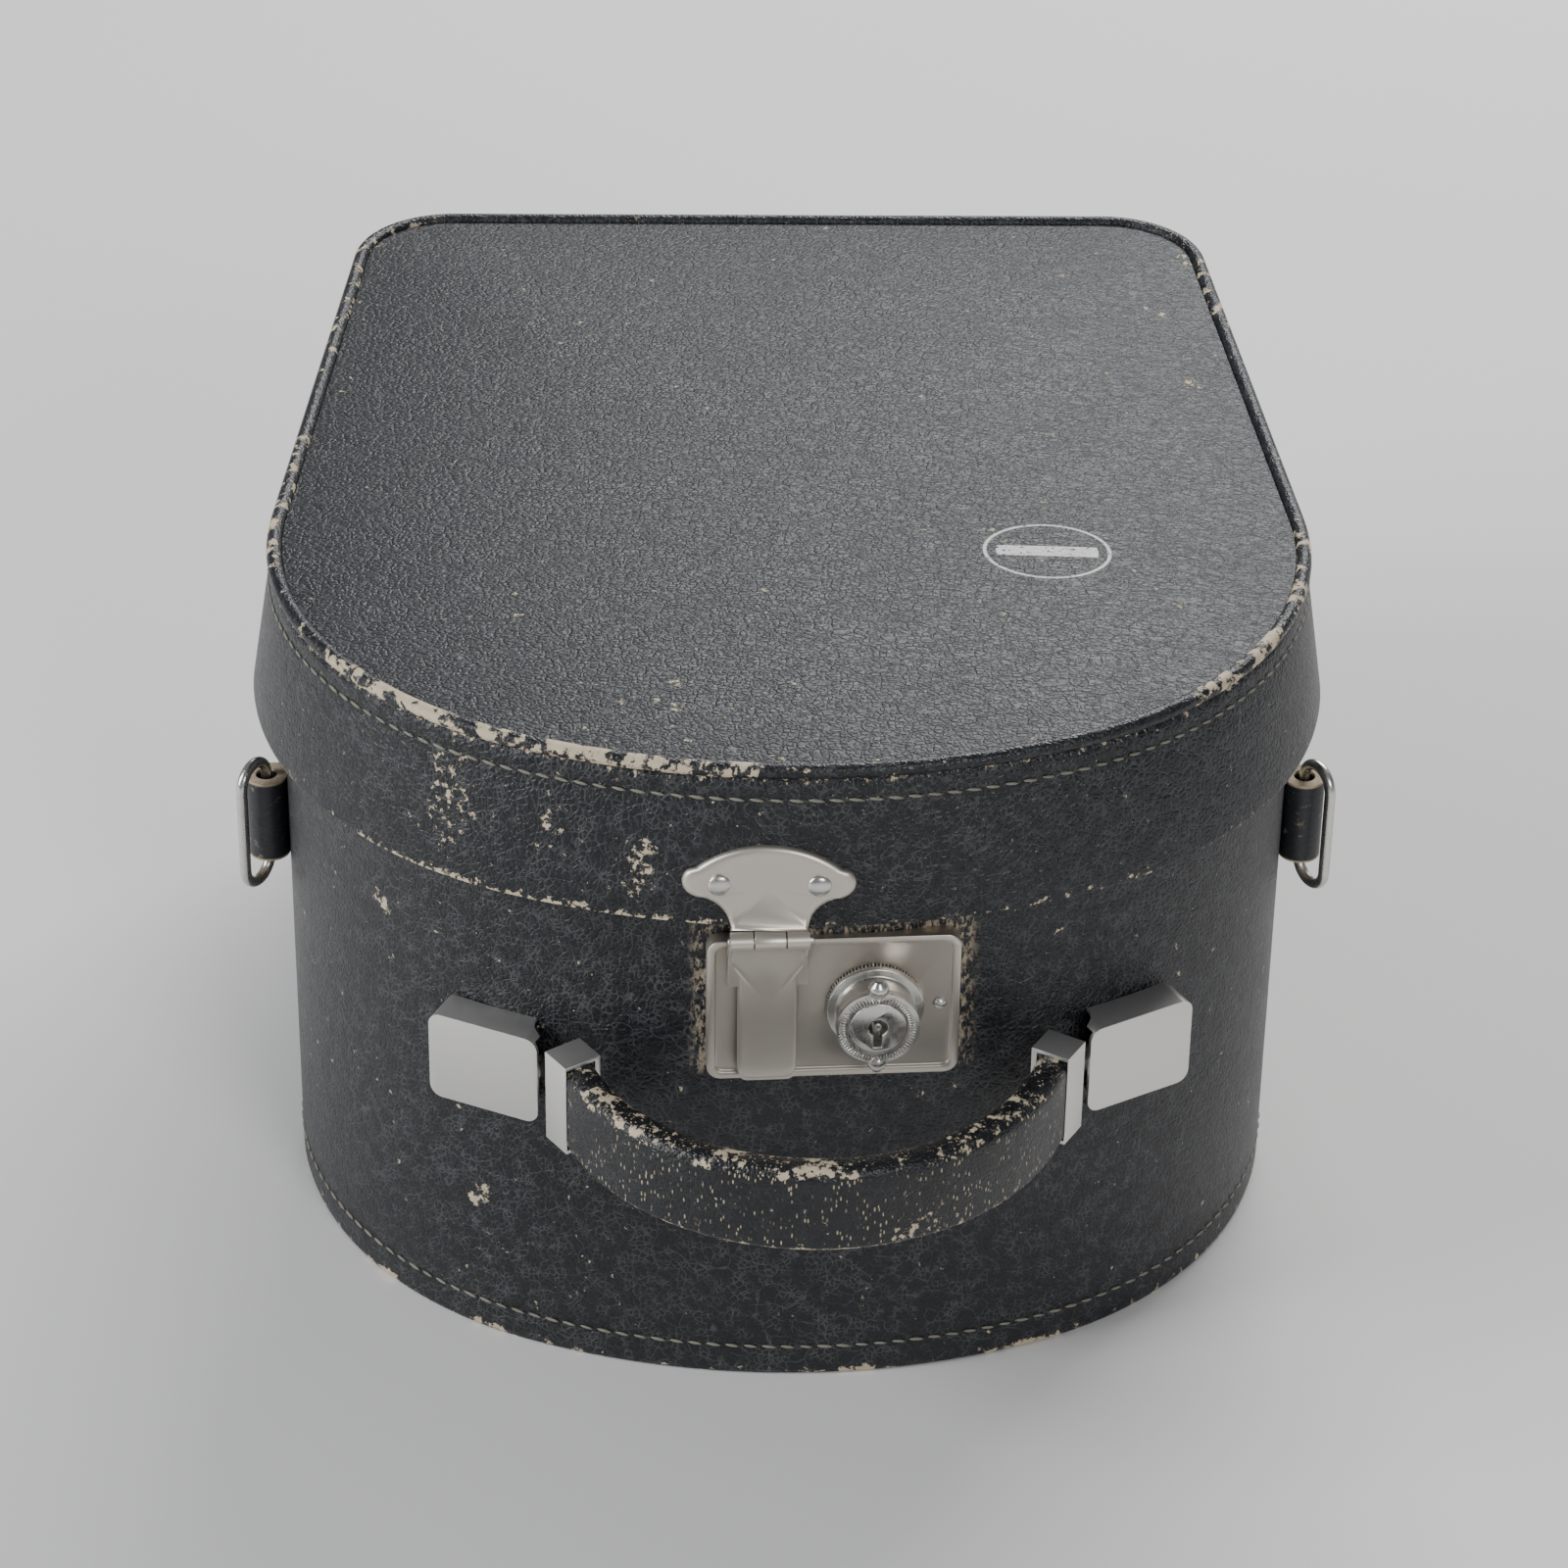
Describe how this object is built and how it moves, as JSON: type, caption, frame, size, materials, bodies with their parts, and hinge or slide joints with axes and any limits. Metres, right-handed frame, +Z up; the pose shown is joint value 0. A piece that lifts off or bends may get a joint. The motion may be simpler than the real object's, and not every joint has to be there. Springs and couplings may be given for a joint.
{
  "type": "leather carrying case",
  "caption": "Round-fronted black leather carrying case with a hinged overlapping lid, hasp lock, bowed front handle and side rings.",
  "frame": {"origin": "under the middle of the whole object's box, at the floor", "axes": "+Z up, -Y the round front with the lock and handle, +Y the flat hinged back, +X the object's right as seen from the front"},
  "size_m": [0.2518, 0.3086, 0.1662],
  "materials": {
    "leather": "satin",
    "top_leather": "satin",
    "handle_leather": "satin",
    "loop_leather": "satin",
    "board": "matte",
    "lining": "matte",
    "worn_nickel": "worn",
    "satin_nickel": "satin",
    "ring_nickel": "satin",
    "steel": "satin"
  },
  "bodies": {
    "case": {"base_board": "board", "base_cover": "leather", "base_lining": "lining", "wall_board": "board", "wall_cover": "leather", "wall_lining": "lining", "collar": "lining", "lock_plate": "worn_nickel", "lock_case": "steel", "stop_stud": "worn_nickel", "cap_left": "satin_nickel", "cap_right": "satin_nickel", "pivot_left": "steel", "pivot_right": "steel", "loop_left": "loop_leather", "loop_right": "loop_leather", "body_leaf_left": "worn_nickel", "body_leaf_right": "worn_nickel", "hinge_pin_left": "worn_nickel", "hinge_pin_right": "worn_nickel", "body_rivets_left": "worn_nickel", "body_rivets_right": "worn_nickel"},
    "lid": {"lid_leaf_left": "worn_nickel", "lid_leaf_right": "worn_nickel", "lid_rivets_left": "worn_nickel", "lid_rivets_right": "worn_nickel", "lid_board": "board", "lid_rim_board": "board", "lid_skirt": "leather", "lid_top": "top_leather", "lid_piping": "leather", "lid_lining": "lining", "lid_rim_lining": "lining", "hasp_plate": "worn_nickel", "hasp_rivet_left": "worn_nickel", "hasp_rivet_right": "worn_nickel", "hasp_pin": "worn_nickel"},
    "hasp": {"hasp_tongue": "worn_nickel"},
    "knob": {"lock_bolt": "steel", "lock_spring": "steel", "knob_flange": "worn_nickel", "knob_ring": "worn_nickel"},
    "barrel": {"key_barrel": "worn_nickel"},
    "handle": {"handle_core": "steel", "handle_cover": "handle_leather", "ferrule_left": "satin_nickel", "ferrule_right": "satin_nickel"},
    "carry_ring_left": {"ring_left": "ring_nickel"},
    "carry_ring_right": {"ring_right": "ring_nickel"}
  },
  "joints": [
    {"name": "lid_hinge", "type": "hinge", "parent": "case", "child": "lid", "pos_m": [0, 0.14975, 0.1226], "axis": [-1, 0, 0], "range_deg": [0, 105]},
    {"name": "hasp_swing", "type": "hinge", "parent": "lid", "child": "hasp", "pos_m": [-0.00537, -0.11881, 0.1251], "axis": [-0.9984, -0.0567, 0], "range_deg": [0, 100]},
    {"name": "knob_slide", "type": "slide", "parent": "case", "child": "knob", "axis": [0.9984, 0.0567, 0], "range_m": [0, 0.0016], "stiffness_N_per_m": 400, "springref_m": -0.003},
    {"name": "key_turn", "type": "hinge", "parent": "knob", "child": "barrel", "pos_m": [0.01773, -0.11459, 0.1025], "axis": [0.0567, -0.9984, 0], "range_deg": [0, 90]},
    {"name": "handle_swing", "type": "hinge", "parent": "case", "child": "handle", "pos_m": [0.00468, -0.09967, 0.08], "axis": [0.9994, 0.0333, 0], "range_deg": [-15, 15]},
    {"name": "ring_swing_left", "type": "hinge", "parent": "case", "child": "carry_ring_left", "pos_m": [-0.1196, -0.01793, 0.092], "axis": [0, 0, 1], "range_deg": [-140, 20]},
    {"name": "ring_swing_right", "type": "hinge", "parent": "case", "child": "carry_ring_right", "pos_m": [0.1196, -0.01793, 0.092], "axis": [0, 0, 1], "range_deg": [-20, 140]}
  ]
}
